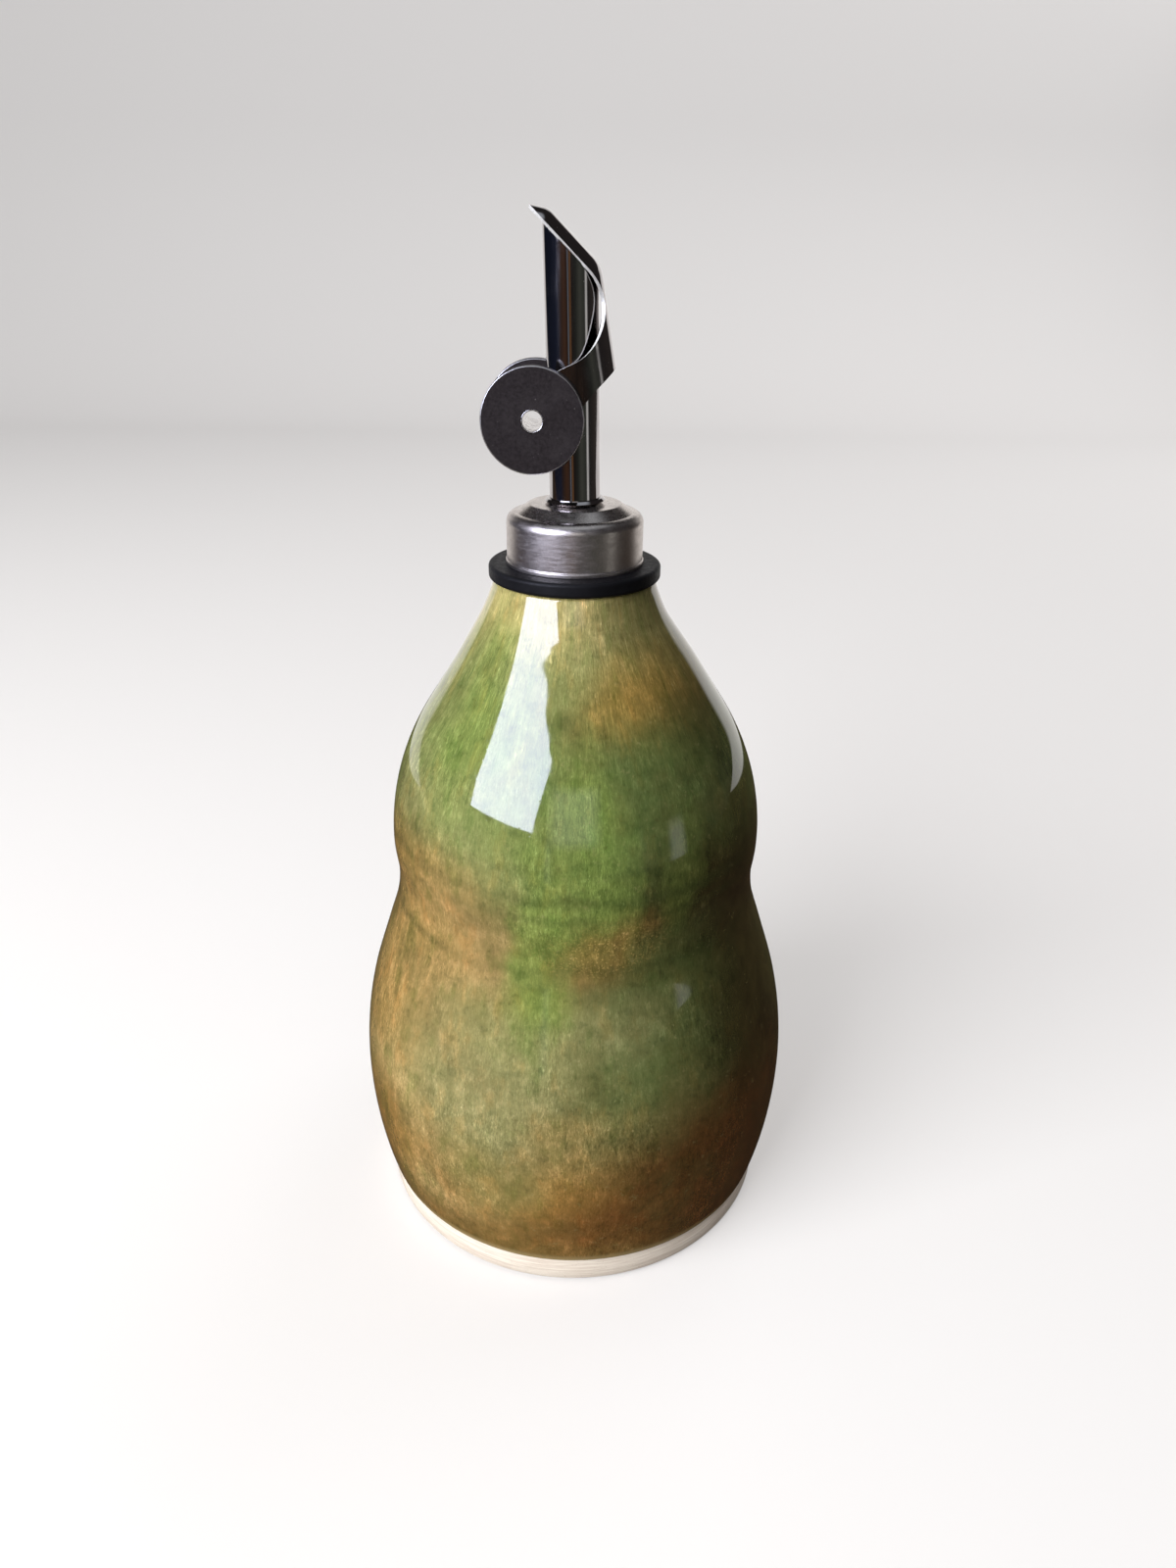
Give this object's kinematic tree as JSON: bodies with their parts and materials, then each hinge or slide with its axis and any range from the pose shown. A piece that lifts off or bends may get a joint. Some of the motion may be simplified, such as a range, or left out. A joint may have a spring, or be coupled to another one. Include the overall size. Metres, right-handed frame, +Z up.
{
  "type": "oil jar",
  "caption": "Glazed stoneware oil bottle with a waist, closed by a rubber-flanged steel pourer whose weighted flap opens when it is tipped.",
  "frame": {"origin": "centre of the foot, on the surface that the jar stands on", "axes": "+Z up along the bottle's axis, -X the side that it pours to, Y along the flap's hinge"},
  "size_m": [0.0954, 0.0954, 0.2052],
  "materials": {
    "glazed_stoneware": "very glossy mottled green, ochre and brown glaze over a bare pale clay foot",
    "black_rubber": "smooth matt black rubber",
    "satin_steel": "satin stainless steel with polished edges",
    "polished_steel": "mirror-polished stainless steel",
    "dark_steel": "dark grey matt steel with bright rims"
  },
  "bodies": {
    "jar": {"bottle": "glazed_stoneware", "stopper_flange": "black_rubber", "collar": "satin_steel", "pour_tube": "polished_steel", "hinge_pin": "polished_steel"},
    "flap": {"flap": "polished_steel", "weight_front": "dark_steel", "weight_back": "dark_steel", "weight_rivet": "satin_steel"}
  },
  "joints": [
    {"name": "flap_hinge", "type": "hinge", "parent": "jar", "child": "flap", "pos_m": [-0.00108, 0, 0.17539], "axis": [0, 1, 0], "range_deg": [0, 54]}
  ]
}
